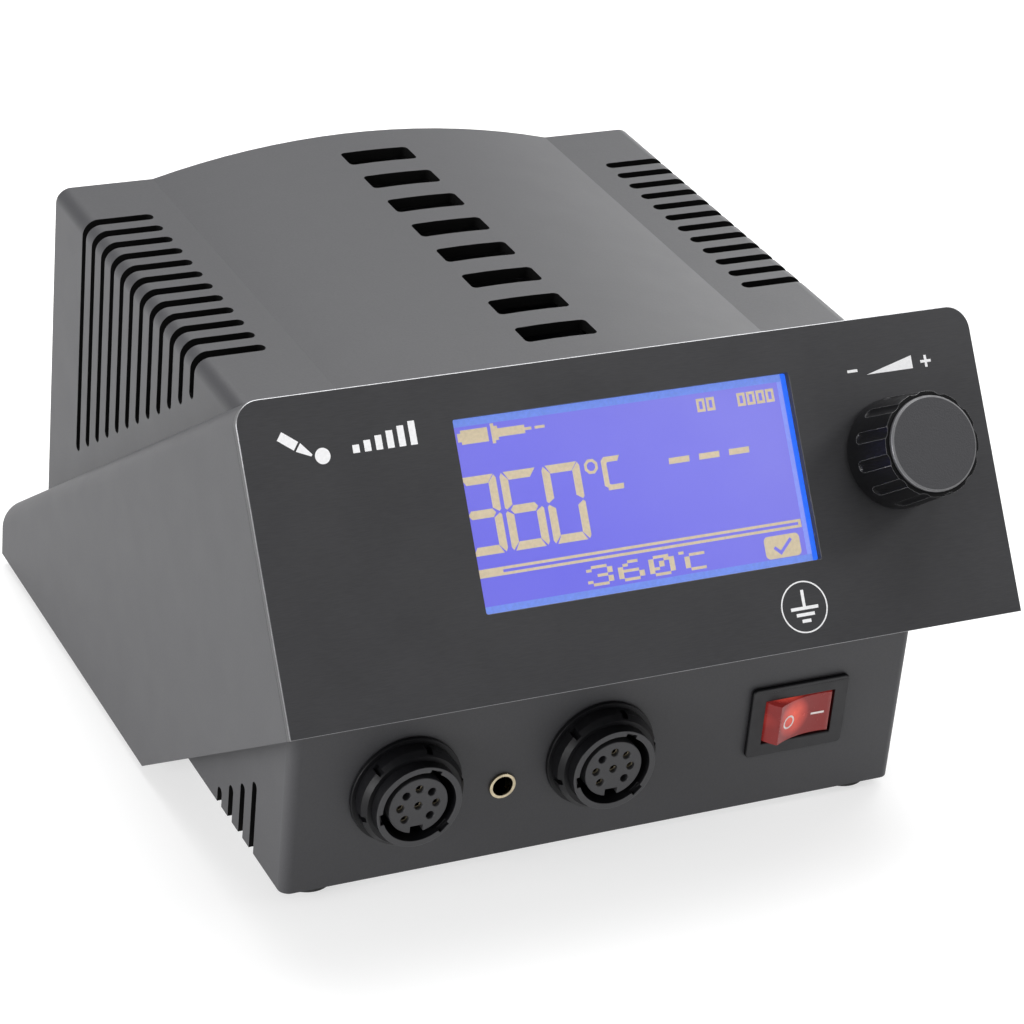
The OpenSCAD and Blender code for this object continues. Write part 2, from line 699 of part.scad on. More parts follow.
module transformer_core() color([0.3, 0.3, 0.32])
    translate([transformer_x, transformer_y, core_z + core_h / 2]) difference() {
        cube([core_w, core_t, core_h], center = true);
        for (side = [-1, 1]) translate([side * 15.6, 0, 0]) cube([10, core_t + 2, 32], center = true);
        for (sx = [-1, 1], sz = [-1, 1]) translate([sx * 27, 0, sz * 22]) rotate([90, 0, 0])
            cylinder(r = 1.8, h = 60, center = true);
    }

module transformer_winding() color([0.72, 0.38, 0.16])
    translate([transformer_x, transformer_y, core_z + core_h / 2]) difference() {
        union() {
            for (side = [-1, 1]) translate([0, 0, side * 15]) linear_extrude(1.6, center = true)
                rounded_rect(40.4, core_t + 20, 2);
            linear_extrude(29, center = true) rounded_rect(39, core_t + 17, 6);
        }
        cube([21.4, core_t + 0.2, 40], center = true);
    }

module transformer_bracket() color([0.6, 0.61, 0.63]) {
    t = 1.5;
    outer = core_w + 2 * t;
    translate([transformer_x, transformer_y, 0]) difference() {
        union() {
            translate([0, 0, core_z + core_h + t / 2]) cube([outer, 26, t], center = true);
            for (side = [-1, 1]) {
                translate([side * (core_w / 2 + t / 2), 0, (floor_z + core_z + core_h) / 2])
                    cube([t, 26, core_z + core_h - floor_z], center = true);
                translate([side * (core_w / 2 + 5), 0, floor_z + t / 2])
                    cube([10, 26, t], center = true);
            }
        }
        for (sx = [-36, 36], sy = [-9, 9]) translate([sx, sy, 0]) cylinder(r = 1.7, h = 20);
    }
}

module transformer_screws() color([0.7, 0.7, 0.72])
    for (x = transformer_holes_x, y = transformer_holes_y)
        translate([x, y, floor_z + 1.5]) pan_screw(1.45, 3.2, 2.7, 2);

board_x = 0;
board_y = front_y + 61;
board_w = 100;
board_l = 48;
board_z = floor_z + 6;
board_holes_x = [board_x - 46, board_x + 46];
board_holes_y = [board_y - 20, board_y + 20];
header_y = board_y + 1;

module main_board() color([0.06, 0.32, 0.16]) difference() {
    union() {
        translate([board_x, board_y, board_z]) rounded_block(board_w, board_l, 1.6, 1);
        translate([board_x - 20, board_y - 12, board_z + 1.55]) rounded_block(16, 12, 1.4, 0.4);
        translate([board_x + 8, board_y - 14, board_z + 1.55]) rounded_block(20, 10, 12, 0.6);
        translate([board_x, header_y, board_z + 1.55]) rounded_block(26, 6, 6, 0.5);
    }
    for (x = board_holes_x, y = board_holes_y) translate([x, y, board_z - 1])
        cylinder(r = 1.5, h = 6);
}

module board_standoffs() color([0.78, 0.68, 0.4])
    for (x = board_holes_x, y = board_holes_y) {
        translate([x, y, floor_z]) cylinder(r = 3, h = board_z - floor_z, $fn = 6);
        translate([x, y, floor_z - base_t]) cylinder(r = 1.4, h = base_t + 0.01);
        translate([x, y, board_z - 0.01]) cylinder(r = 1.4, h = 1.62);
        translate([x, y, board_z + 1.6]) cylinder(r = 2.6, h = 1.8);
    }

sink_x = board_x - 20;
sink_y = board_y + 17;

module heat_sink() color([0.68, 0.69, 0.7])
    translate([sink_x, sink_y, board_z + 1.6]) {
        translate([0, -5, 14]) cube([44, 2.4, 28], center = true);
        for (i = [-5:5]) translate([i * 4.1, 0.4, 14]) cube([1.2, 9, 28], center = true);
    }

module power_transistors() color([0.1, 0.1, 0.1])
    for (i = [-1, 0, 1]) translate([sink_x + i * 13, sink_y - 8.6, board_z + 1.6]) {
        translate([0, 0, 11]) cube([9.8, 4.4, 15], center = true);
        for (leg = [-2.5, 0, 2.5]) translate([leg, 0, 1.8]) cube([0.8, 0.6, 3.6], center = true);
    }

module capacitors() color([0.12, 0.16, 0.3])
    for (p = [[20, 12, 8, 26], [38, 8, 6.5, 22], [38, -8, 5, 16]])
        translate([board_x + p[0], board_y + p[1], board_z + 1.6]) difference() {
            cylinder(r = p[2], h = p[3]);
            translate([0, 0, p[3] - 2.5]) difference() {
                cylinder(r = p[2] + 1, h = 0.9);
                translate([0, 0, -1]) cylinder(r = p[2] - 0.5, h = 3);
            }
            translate([0, 0, p[3]]) cube([p[2] * 1.3, 0.6, 0.6], center = true);
            translate([0, 0, p[3]]) cube([0.6, p[2] * 1.3, 0.6], center = true);
        }

module terminal_block() color([0.1, 0.45, 0.25])
    translate([board_x - 41, board_y - 6, board_z + 1.6]) difference() {
        translate([0, 0, 5]) cube([9, 22, 10], center = true);
        for (i = [-1.5:1.5]) translate([0, i * 5, 10]) cylinder(r = 1.7, h = 3, center = true);
        for (i = [-1.5:1.5]) translate([-4.5, i * 5, 3.6]) cube([4, 3.4, 4], center = true);
    }

module buzzer() color([0.07, 0.07, 0.07])
    translate([board_x + 24, board_y - 8, board_z + 1.6]) difference() {
        cylinder(r = 5.5, h = 7);
        translate([0, 0, 4]) cylinder(r = 1, h = 5);
    }

// Flat cable from the main board's header up to the control board's header
module ribbon_cable() color([0.6, 0.6, 0.62]) {
    t = 0.9;
    header_top = board_z + 1.6 + 5.95;
    up_y = header_y;
    // middle of the control board's header, behind the fascia
    end_depth = board_depth + board_t + 6.6;
    end_y = front_y + 12 * sin(lean) + end_depth * cos(lean);
    end_z = fascia_z + 12 * cos(lean) - end_depth * sin(lean);
    rise = header_top + 14;
    translate([12, 0, 0]) rotate([0, -90, 0]) linear_extrude(24)
        polygon([
            [header_top, up_y - t / 2], [header_top, up_y + t / 2],
            [rise + t, up_y + t / 2],
            [end_z + 0.1, end_y + 4 + t], [end_z + 0.7, end_y + 0.1],
            [end_z - 0.1, end_y + 0.1], [end_z - 0.9, end_y + 4 - t],
            [rise, up_y - t / 2]
        ]);
}

housing_cover();
base_plate();
rear_panel();
front_hood();
fascia_plate();
display_lens();
lcd_cell();
lcd_frame();
backlight();
control_board();
control_board_screws();
encoder_body();
encoder_nut();
encoder_plunger();
encoder_shaft();
knob();
knob_cap();
socket_shell(socket_xs[0]);  // left_socket_shell
socket_shell(socket_xs[1]);  // right_socket_shell
socket_ring(socket_xs[0]);  // left_socket_ring
socket_ring(socket_xs[1]);  // right_socket_ring
socket_insert(socket_xs[0]);  // left_socket_insert
socket_insert(socket_xs[1]);  // right_socket_insert
socket_contacts(socket_xs[0], left_filled);  // left_socket_contacts
socket_contacts(socket_xs[1], right_filled);  // right_socket_contacts
earth_jack();
earth_jack_nut();
switch_housing();
switch_rocker();
switch_terminals();
mains_inlet();
inlet_pins();
fuse_drawer();
fuse();
interface_socket();
interface_insert();
transformer_core();
transformer_winding();
transformer_bracket();
transformer_screws();
main_board();
board_standoffs();
heat_sink();
power_transistors();
capacitors();
terminal_block();
buzzer();
ribbon_cable();
rubber_feet();
base_screws();
rear_panel_screws();
hood_screws();
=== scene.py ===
"""Looks of the soldering iron station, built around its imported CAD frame."""

import json
import math

import bpy
from mathutils import Matrix, Vector


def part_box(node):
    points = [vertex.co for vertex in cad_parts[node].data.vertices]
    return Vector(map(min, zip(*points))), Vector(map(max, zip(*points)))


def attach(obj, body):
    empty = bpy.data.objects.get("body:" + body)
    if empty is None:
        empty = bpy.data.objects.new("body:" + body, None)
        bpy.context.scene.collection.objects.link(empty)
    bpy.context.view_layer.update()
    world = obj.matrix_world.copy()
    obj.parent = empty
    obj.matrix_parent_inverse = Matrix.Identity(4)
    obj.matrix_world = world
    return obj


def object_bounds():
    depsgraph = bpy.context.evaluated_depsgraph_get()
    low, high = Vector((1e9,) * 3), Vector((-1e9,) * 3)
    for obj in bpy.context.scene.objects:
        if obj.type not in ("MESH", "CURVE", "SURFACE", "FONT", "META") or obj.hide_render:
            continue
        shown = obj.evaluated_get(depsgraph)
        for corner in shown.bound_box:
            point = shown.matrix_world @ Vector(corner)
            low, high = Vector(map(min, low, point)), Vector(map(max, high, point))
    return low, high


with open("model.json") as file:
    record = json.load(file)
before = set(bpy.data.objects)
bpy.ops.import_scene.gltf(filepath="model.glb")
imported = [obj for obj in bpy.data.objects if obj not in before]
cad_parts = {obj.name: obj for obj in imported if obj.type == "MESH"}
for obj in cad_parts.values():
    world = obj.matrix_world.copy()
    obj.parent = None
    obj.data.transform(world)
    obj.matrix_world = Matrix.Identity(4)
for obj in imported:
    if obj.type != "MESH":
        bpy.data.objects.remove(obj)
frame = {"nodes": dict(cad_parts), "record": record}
CAD_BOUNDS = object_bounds()
NODES = frame["nodes"]
RECORD = frame["record"]
SLOT_OF = {part["node"]: part["material_slot"] for part in RECORD["subparts"]}

MM = 0.001
LEAN = math.radians(35)  # the fascia leans back this far from the vertical
FASCIA_LENGTH = 57.5  # the fascia's height along its slope, mm
FASCIA_THICKNESS = 1.5  # mm

SHADING_STEP = math.radians(6)  # shading that turns more than this across an edge is a real edge
EDGE_ANGLE = math.radians(25)  # faces that meet at more than this get a radius


# ---- places ---------------------------------------------------------------------------


def fascia_place():
    """Frame on the fascia's face, at its lower edge: x right, y up the slope, z outwards."""
    low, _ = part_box("fascia_plate")
    origin = Vector((0, low.y, low.z + FASCIA_THICKNESS * MM * math.sin(LEAN)))
    return Matrix.Translation(origin) @ Matrix.Rotation(math.pi / 2 - LEAN, 4, "X")


FASCIA = fascia_place()
WINDOW_UP = 32.5  # middle of the display window above the fascia's lower edge, mm
DISPLAY_DEPTH = 2.3  # front of the display cell behind the fascia's face, mm
DISPLAY = FASCIA @ Matrix.Translation(Vector((0, WINDOW_UP, -DISPLAY_DEPTH)) * MM)


# ---- outlines, in mm --------------------------------------------------------------------


def box_outline(left, bottom, right, top):
    return [(left, bottom), (right, bottom), (right, top), (left, top)]


def circle_outline(x, y, radius, steps=48, start=0.0):
    angles = [start + 2 * math.pi * i / steps for i in range(steps)]
    return [(x + radius * math.cos(a), y + radius * math.sin(a)) for a in angles]


def rounded_outline(left, bottom, right, top, radius, steps=6):
    """Rectangle with rounded corners."""
    corners = [
        (right - radius, top - radius, 0),
        (left + radius, top - radius, 1),
        (left + radius, bottom + radius, 2),
        (right - radius, bottom + radius, 3),
    ]
    points = []
    for x, y, quarter in corners:
        for step in range(steps + 1):
            angle = math.pi / 2 * (quarter + step / steps)
            points.append((x + radius * math.cos(angle), y + radius * math.sin(angle)))
    return points


def stroke_outline(points, width):
    """A line through the points, widened; the corners are mitred."""
    half = width / 2
    left, right = [], []
    for i, (x, y) in enumerate(points):
        before = Vector(points[max(i - 1, 0)])
        after = Vector(points[min(i + 1, len(points) - 1)])
        here = Vector((x, y))
        into = (here - before).normalized() if i > 0 else (after - here).normalized()
        out = (after - here).normalized() if i < len(points) - 1 else into
        normal = Vector((-into.y - out.y, into.x + out.x)).normalized()
        reach = half / max(0.3, normal.dot(Vector((-into.y, into.x))))
        left.append((x + normal.x * reach, y + normal.y * reach))
        right.append((x - normal.x * reach, y - normal.y * reach))
    return left + right[::-1]


def pixel_outlines(rows, left, top, width, height):
    """One box for each run of # in a pixel pattern."""
    outlines = []
    for row, pattern in enumerate(rows):
        y = top - row * height
        start = None
        for column, mark in enumerate(pattern + "."):
            if mark == "#" and start is None:
                start = column
            if mark != "#" and start is not None:
                outlines.append(
                    box_outline(left + start * width, y - height, left + column * width, y)
                )
                start = None
    return outlines


# ---- pieces -----------------------------------------------------------------------------


def add_piece(name, mesh, material, body="station"):
    """A visible object made from a mesh whose points are in the row frame."""
    piece = bpy.data.objects.new(name, mesh)
    bpy.context.scene.collection.objects.link(piece)
    mesh.materials.clear()
    mesh.materials.append(material)
    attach(piece, body)
    return piece


def sheet_mesh(name, outlines, thickness):
    """Mesh of a thin flat sheet, in mm; an outline inside another is a hole."""
    curve = bpy.data.curves.new(name, "CURVE")
    curve.dimensions = "2D"
    curve.fill_mode = "BOTH"
    curve.extrude = thickness / 2
    for outline in outlines:
        spline = curve.splines.new("POLY")
        spline.points.add(len(outline) - 1)
        for point, (x, y) in zip(spline.points, outline):
            point.co = (x, y, 0, 1)
        spline.use_cyclic_u = True
    holder = bpy.data.objects.new(name + "_outline", curve)
    mesh = bpy.data.meshes.new_from_object(holder)
    bpy.data.objects.remove(holder)
    mesh.transform(Matrix.Translation((0, 0, thickness / 2)))
    return mesh


def sheet_piece(name, outlines, place, lift, thickness, material):
    """A thin flat piece lying a little above a place's plane."""
    mesh = sheet_mesh(name, outlines, thickness)
    mesh.transform(place @ Matrix.Translation((0, 0, lift * MM)) @ Matrix.Scale(MM, 4))
    return add_piece(name, mesh, material)


# ---- edges of the CAD pieces ----------------------------------------------------------------


def edge_key(a, b):
    """A name for an edge that both of its sides share, whatever their vertex numbers."""
    ends = [tuple(round(c / MM, 4) for c in point) for point in (a, b)]
    return tuple(sorted(ends))


def find_edges(mesh):
    """Each edge's (edge numbers, angle between its faces, greatest turn of shading across it)."""
    sides = {}
    corner_normals = [tuple(c.vector) for c in mesh.corner_normals]
    for face in mesh.polygons:
        loops = list(face.loop_indices)
        for i, loop in enumerate(loops):
            following = loops[(i + 1) % len(loops)]
            a = mesh.vertices[mesh.loops[loop].vertex_index].co
            b = mesh.vertices[mesh.loops[following].vertex_index].co
            shading = {
                tuple(round(c / MM, 4) for c in a): Vector(corner_normals[loop]),
                tuple(round(c / MM, 4) for c in b): Vector(corner_normals[following]),
            }
            found = sides.setdefault(edge_key(a, b), [])
            found.append((mesh.loops[loop].edge_index, face.normal.copy(), shading))
    edges = []
    for key, found in sides.items():
        if len(found) != 2:
            continue
        (edge_a, normal_a, shade_a), (edge_b, normal_b, shade_b) = found
        turn = max(shade_a[p].angle(shade_b[p], 0) for p in key)
        edges.append((key, (edge_a, edge_b), normal_a.angle(normal_b, 0), turn))
    return edges


def set_edge_values(mesh, name, kind, values):
    attribute = mesh.attributes.get(name) or mesh.attributes.new(name, kind, "EDGE")
    attribute.data.foreach_set("value", values)


def soften(node, width, segments=2, border=None, border_width=0.13):
    """Rounds a CAD piece's sharp edges by width (mm) with modifiers, and shades it smoothly.

    border picks, by its two end points in mm, the edges that get a chamfer of the piece's second
    material.
    """
    piece = NODES[node]
    mesh = piece.data
    count = len(mesh.edges)
    sharp = [False] * count
    rounded = [0.0] * count
    bordered = [0.0] * count
    for key, numbers, angle, turn in find_edges(mesh):
        chosen = border is not None and border(key)
        for number in numbers:
            sharp[number] = turn > SHADING_STEP
            if chosen and angle > EDGE_ANGLE:
                bordered[number] = 1.0
            elif sharp[number] and angle > EDGE_ANGLE:
                rounded[number] = 1.0
    set_edge_values(mesh, "sharp_edge", "BOOLEAN", sharp)
    set_edge_values(mesh, "rounded_edge", "FLOAT", rounded)
    set_edge_values(mesh, "border_edge", "FLOAT", bordered)
    if "custom_normal" in mesh.attributes:
        mesh.attributes.remove(mesh.attributes["custom_normal"])
    weld = piece.modifiers.new("weld", "WELD")
    weld.merge_threshold = 0.002 * MM
    flat = piece.modifiers.new("flat", "DECIMATE")
    flat.decimate_type = "DISSOLVE"
    flat.angle_limit = math.radians(0.2)
    flat.delimit = {"SHARP"}
    if border is not None:
        add_bevel(piece, "border", "border_edge", border_width, 1, material=1)
    add_bevel(piece, "rounding", "rounded_edge", width, segments)
    shading = piece.modifiers.new("shading", "WEIGHTED_NORMAL")
    shading.keep_sharp = True


def add_bevel(piece, name, attribute, width, segments, material=-1):
    bevel = piece.modifiers.new(name, "BEVEL")
    bevel.limit_method = "WEIGHT"
    bevel.edge_weight = attribute
    bevel.width = width * MM
    bevel.segments = segments
    bevel.material = material
    bevel.use_clamp_overlap = True


# ---- materials ------------------------------------------------------------------------------


class Finish:
    """A node material: one Principled shader and the procedural detail that feeds it."""

    def __init__(self, name, colour, roughness, metallic=0.0):
        self.data = bpy.data.materials.new(name)
        self.data.use_nodes = True
        self.tree = self.data.node_tree
        self.shader = self.tree.nodes["Principled BSDF"]
        self.colour = colour
        self.set("Base Color", (*colour, 1))
        self.set("Roughness", roughness)
        self.set("Metallic", metallic)
        self.place = self.tree.nodes.new("ShaderNodeTexCoord").outputs["Object"]
        self.normal = None

    def set(self, socket, value):
        self.shader.inputs[socket].default_value = value

    def link(self, output, target):
        self.tree.links.new(output, target)

    def node(self, kind, **settings):
        made = self.tree.nodes.new(kind)
        for key, value in settings.items():
            setattr(made, key, value)
        return made

    def stretched(self, x, y, z):
        """Coordinates in mm, scaled along each axis."""
        mapping = self.node("ShaderNodeMapping")
        mapping.inputs["Scale"].default_value = (x / MM, y / MM, z / MM)
        self.link(self.place, mapping.inputs["Vector"])
        return mapping.outputs["Vector"]

    def noise(self, size, detail=3.0, stretch=(1, 1, 1)):
        """Cloudy pattern with features of about this size in mm."""
        texture = self.node("ShaderNodeTexNoise")
        texture.inputs["Scale"].default_value = 1.0
        texture.inputs["Detail"].default_value = detail
        scales = [part / size for part in stretch]
        self.link(self.stretched(*scales), texture.inputs["Vector"])
        return texture.outputs["Fac"]

    def cells(self, size, feature="F1"):
        """Pattern of cells of about this size in mm."""
        texture = self.node("ShaderNodeTexVoronoi", feature=feature)
        texture.inputs["Scale"].default_value = 1.0
        scale = 1 / size
        self.link(self.stretched(scale, scale, scale), texture.inputs["Vector"])
        return texture.outputs["Distance"]

    def bands(self, pitch, axis):
        """Parallel ridges with this pitch in mm across an axis."""
        texture = self.node("ShaderNodeTexWave", bands_direction=axis)
        texture.inputs["Scale"].default_value = math.pi / 10 / pitch
        texture.inputs["Distortion"].default_value = 0.0
        self.link(self.stretched(1, 1, 1), texture.inputs["Vector"])
        return texture.outputs["Fac"]

    def spread(self, value, low, high, start=0.3, end=0.7):
        """Maps the middle of a pattern to a range."""
        ramp = self.node("ShaderNodeMapRange")
        ramp.inputs["From Min"].default_value = start
        ramp.inputs["From Max"].default_value = end
        ramp.inputs["To Min"].default_value = low
        ramp.inputs["To Max"].default_value = high
        self.link(value, ramp.inputs["Value"])
        return ramp.outputs["Result"]

    def vary_roughness(self, value, low, high):
        self.link(self.spread(value, low, high), self.shader.inputs["Roughness"])

    def vary_colour(self, value, darker, lighter):
        """The base colour times a factor that follows a pattern."""
        mix = self.node("ShaderNodeMix", data_type="RGBA")
        mix.inputs["A"].default_value = (*[c * darker for c in self.colour], 1)
        mix.inputs["B"].default_value = (*[min(1, c * lighter) for c in self.colour], 1)
        self.link(self.spread(value, 0, 1), mix.inputs["Factor"])
        self.link(mix.outputs["Result"], self.shader.inputs["Base Color"])
        return mix.outputs["Result"]

    def blend_colour(self, factor, below, colour):
        """Lays another colour over one that is already there."""
        mix = self.node("ShaderNodeMix", data_type="RGBA")
        self.link(below, mix.inputs["A"])
        mix.inputs["B"].default_value = (*colour, 1)
        self.link(factor, mix.inputs["Factor"])
        self.link(mix.outputs["Result"], self.shader.inputs["Base Color"])

    def bump(self, height, depth):
        """Raises the surface by depth (mm) where the pattern is high; calls add up."""
        relief = self.node("ShaderNodeBump")
        relief.inputs["Distance"].default_value = depth * MM
        relief.inputs["Strength"].default_value = 1.0
        self.link(height, relief.inputs["Height"])
        if self.normal is not None:
            self.link(self.normal, relief.inputs["Normal"])
        self.normal = relief.outputs["Normal"]
        self.link(self.normal, self.shader.inputs["Normal"])


def moulded_plastic(name, colour, roughness, grain=0.35, depth=0.012):
    """Plastic with the fine spark texture of its mould and faint marks of handling."""
    finish = Finish(name, colour, roughness)
    finish.set("Specular IOR Level", 0.4)
    grains = finish.noise(grain, detail=2.0)
    finish.vary_colour(grains, 0.93, 1.07)
    finish.vary_roughness(finish.noise(9, detail=4.0), roughness - 0.015, roughness + 0.015)
    finish.bump(grains, depth)
    return finish


def glossy_plastic(name, colour, roughness, shine=0.4):
    """Smooth moulded plastic with faint flow marks and hairline scuffs."""
    finish = Finish(name, colour, roughness)
    finish.set("Specular IOR Level", shine)
    finish.vary_colour(finish.noise(6), 0.9, 1.12)
    finish.vary_roughness(finish.noise(2.5, detail=5.0), roughness - 0.06, roughness + 0.1)
    finish.bump(finish.noise(1.2, detail=2.0), 0.006)
    return finish


def brushed_metal(name, colour, roughness, metallic, stretch, depth=0.002, contrast=0.1):
    """Metal with straight grain; the stretch is small along the grain."""
    finish = Finish(name, colour, roughness, metallic)
    grain = finish.noise(0.13, detail=2.0, stretch=stretch)
    finish.vary_colour(grain, 1 - contrast, 1 + contrast)
    finish.vary_roughness(finish.noise(12, detail=4.0), roughness - 0.05, roughness + 0.06)
    finish.bump(grain, depth)
    return finish


def plated_steel(name, colour, roughness):
    """Zinc plate: pale crystals over dull grey, with fine pitting."""
    finish = Finish(name, colour, roughness, 1.0)
    crystals = finish.cells(3.0)
    finish.vary_colour(crystals, 0.82, 1.1)
    finish.vary_roughness(finish.noise(1.5, detail=5.0), roughness - 0.08, roughness + 0.12)
    finish.bump(finish.noise(0.25, detail=2.0), 0.004)
    return finish


def powder_coat(name, colour, roughness):
    """Paint baked on sheet metal, with its orange-peel surface."""
    finish = Finish(name, colour, roughness)
    finish.vary_colour(finish.noise(20), 0.92, 1.08)
    finish.vary_roughness(finish.noise(5, detail=4.0), roughness - 0.06, roughness + 0.08)
    finish.bump(finish.noise(0.7, detail=2.0), 0.03)
    return finish


def brass_plate(name, colour):
    """Plated brass, slightly tarnished in blotches."""
    finish = Finish(name, colour, 0.25, 1.0)
    tarnish = finish.noise(1.8, detail=5.0)
    finish.vary_colour(tarnish, 0.7, 1.1)
    finish.vary_roughness(tarnish, 0.35, 0.18)
    finish.bump(finish.noise(0.1, detail=1.0), 0.002)
    return finish


def clear_lens():
    """Thin polished cover over the display."""
    finish = Finish("lens_clear", (1, 1, 1), 0.03)
    finish.set("Transmission Weight", 1.0)
    finish.set("IOR", 1.2)
    finish.vary_roughness(finish.noise(8, detail=5.0), 0.0, 0.05)
    finish.bump(finish.noise(15, detail=1.0), 0.002)
    return finish


def lit_display():
    """Blue display that glows, a little brighter to the upper right, with a faint pixel grid."""
    finish = Finish("display_blue", (0.02, 0.02, 0.1), 0.35)
    glow = finish.node("ShaderNodeMix", data_type="RGBA")
    glow.inputs["A"].default_value = (0.148, 0.142, 0.74, 1)
    glow.inputs["B"].default_value = (0.222, 0.214, 0.76, 1)
    across = finish.node("ShaderNodeSeparateXYZ")
    finish.link(finish.place, across.inputs["Vector"])
    slope = finish.spread(across.outputs["X"], 0.0, 0.8, -0.02, 0.034)
    rise = finish.spread(across.outputs["Z"], -0.2, 0.35, 0.06, 0.088)
    total = finish.node("ShaderNodeMath", operation="ADD", use_clamp=True)
    finish.link(slope, total.inputs[0])
    finish.link(rise, total.inputs[1])
    cloud = finish.node("ShaderNodeMath", operation="MULTIPLY_ADD", use_clamp=True)
    finish.link(finish.noise(14, detail=2.0), cloud.inputs[0])
    cloud.inputs[1].default_value = 0.3
    finish.link(total.outputs["Value"], cloud.inputs[2])
    finish.link(cloud.outputs["Value"], glow.inputs["Factor"])
    finish.link(glow.outputs["Result"], finish.shader.inputs["Emission Color"])
    finish.set("Emission Strength", 1.0)
    finish.bump(finish.cells(0.5), 0.002)
    return finish


def lit_strip(name, colour):
    """Part of the display that glows in one hue, mottled a little."""
    finish = Finish(name, tuple(c * 0.2 for c in colour), 0.4)
    glow = finish.node("ShaderNodeMix", data_type="RGBA")
    glow.inputs["A"].default_value = (*[c * 0.92 for c in colour], 1)
    glow.inputs["B"].default_value = (*[min(1, c * 1.06) for c in colour], 1)
    finish.link(finish.spread(finish.noise(0.6, detail=3.0), 0, 1), glow.inputs["Factor"])
    finish.link(glow.outputs["Result"], finish.shader.inputs["Emission Color"])
    finish.set("Emission Strength", 1.0)
    finish.bump(finish.noise(0.3), 0.002)
    return finish


def printed_ink(name, colour):
    """Screen-printed ink with a slightly uneven film."""
    finish = Finish(name, colour, 0.5)
    finish.vary_colour(finish.noise(0.5, detail=4.0), 0.93, 1.03)
    finish.vary_roughness(finish.noise(1.0), 0.42, 0.58)
    finish.bump(finish.noise(0.2, detail=2.0), 0.003)
    return finish


def lamp_red():
    """Translucent red plastic, lit from behind near the middle of the rocker's pressed end."""
    finish = Finish("rocker_red", (0.1, 0.01, 0.01), 0.3)
    finish.set("Specular IOR Level", 0.3)
    finish.set("Transmission Weight", 0.15)
    finish.set("Subsurface Weight", 0.3)
    finish.set("Subsurface Radius", (2 * MM, 0.4 * MM, 0.3 * MM))
    low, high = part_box("switch_rocker")
    middle = (low + high) / 2
    lamp = Vector((middle.x - 2.4 * MM, middle.y, middle.z + 0.5 * MM))
    away = finish.node("ShaderNodeVectorMath", operation="DISTANCE")
    finish.link(finish.place, away.inputs[0])
    away.inputs[1].default_value = lamp
    near = finish.spread(away.outputs["Value"], 1.0, 0.0, 1.2 * MM, 5.6 * MM)
    cloud = finish.node("ShaderNodeMath", operation="MULTIPLY")
    finish.link(near, cloud.inputs[0])
    finish.link(finish.spread(finish.noise(3.0), 0.7, 1.2), cloud.inputs[1])
    glow = finish.node("ShaderNodeMath", operation="MULTIPLY_ADD")
    finish.link(cloud.outputs["Value"], glow.inputs[0])
    glow.inputs[1].default_value = 1.15
    glow.inputs[2].default_value = 0.13
    finish.link(glow.outputs["Value"], finish.shader.inputs["Emission Strength"])
    hue = finish.node("ShaderNodeMix", data_type="RGBA")
    hue.inputs["A"].default_value = (1.0, 0.1, 0.09, 1)
    hue.inputs["B"].default_value = (1.0, 0.17, 0.05, 1)
    finish.link(cloud.outputs["Value"], hue.inputs["Factor"])
    finish.link(hue.outputs["Result"], finish.shader.inputs["Emission Color"])
    finish.vary_roughness(finish.noise(2, detail=4.0), 0.16, 0.3)
    finish.bump(finish.noise(0.8), 0.004)
    return finish


def rubber(name, colour):
    """Matt rubber, dusty in its pores."""
    finish = Finish(name, colour, 0.85)
    finish.vary_colour(finish.noise(1.2, detail=5.0), 0.8, 1.4)
    finish.vary_roughness(finish.noise(0.8), 0.75, 0.95)
    finish.bump(finish.noise(0.3, detail=4.0), 0.03)
    return finish


def circuit_board(name, colour):
    """Solder mask with tracks that show through as lighter lines."""
    finish = Finish(name, colour, 0.3)
    tracks = finish.cells(2.4, feature="DISTANCE_TO_EDGE")
    finish.vary_colour(finish.spread(tracks, 0, 1, 0.05, 0.1), 1.5, 0.85)
    finish.vary_roughness(finish.noise(3, detail=4.0), 0.22, 0.4)
    finish.bump(tracks, 0.01)
    return finish


def ribbed(name, colour, roughness, metallic, pitch, axis, depth):
    """Surface of parallel ribs, such as wound wire, stacked sheets or a ribbon cable."""
    finish = Finish(name, colour, roughness, metallic)
    ribs = finish.bands(pitch, axis)
    tone = finish.vary_colour(ribs, 0.55, 1.15)
    finish.blend_colour(finish.spread(finish.noise(4), 0, 0.25), tone, (0.02, 0.02, 0.02))
    finish.vary_roughness(finish.noise(1.5, detail=4.0), roughness - 0.08, roughness + 0.1)
    finish.bump(ribs, depth)
    return finish


def glass_tube():
    """Clear glass of the fuse's tube."""
    finish = Finish("fuse_glass", (0.95, 0.98, 0.97), 0.03)
    finish.set("Transmission Weight", 1.0)
    finish.vary_roughness(finish.noise(1.5, detail=4.0), 0.01, 0.08)
    finish.bump(finish.noise(3), 0.003)
    return finish


ALONG_X = (0.06, 1, 1)
ALONG_Z = (1, 1, 0.03)

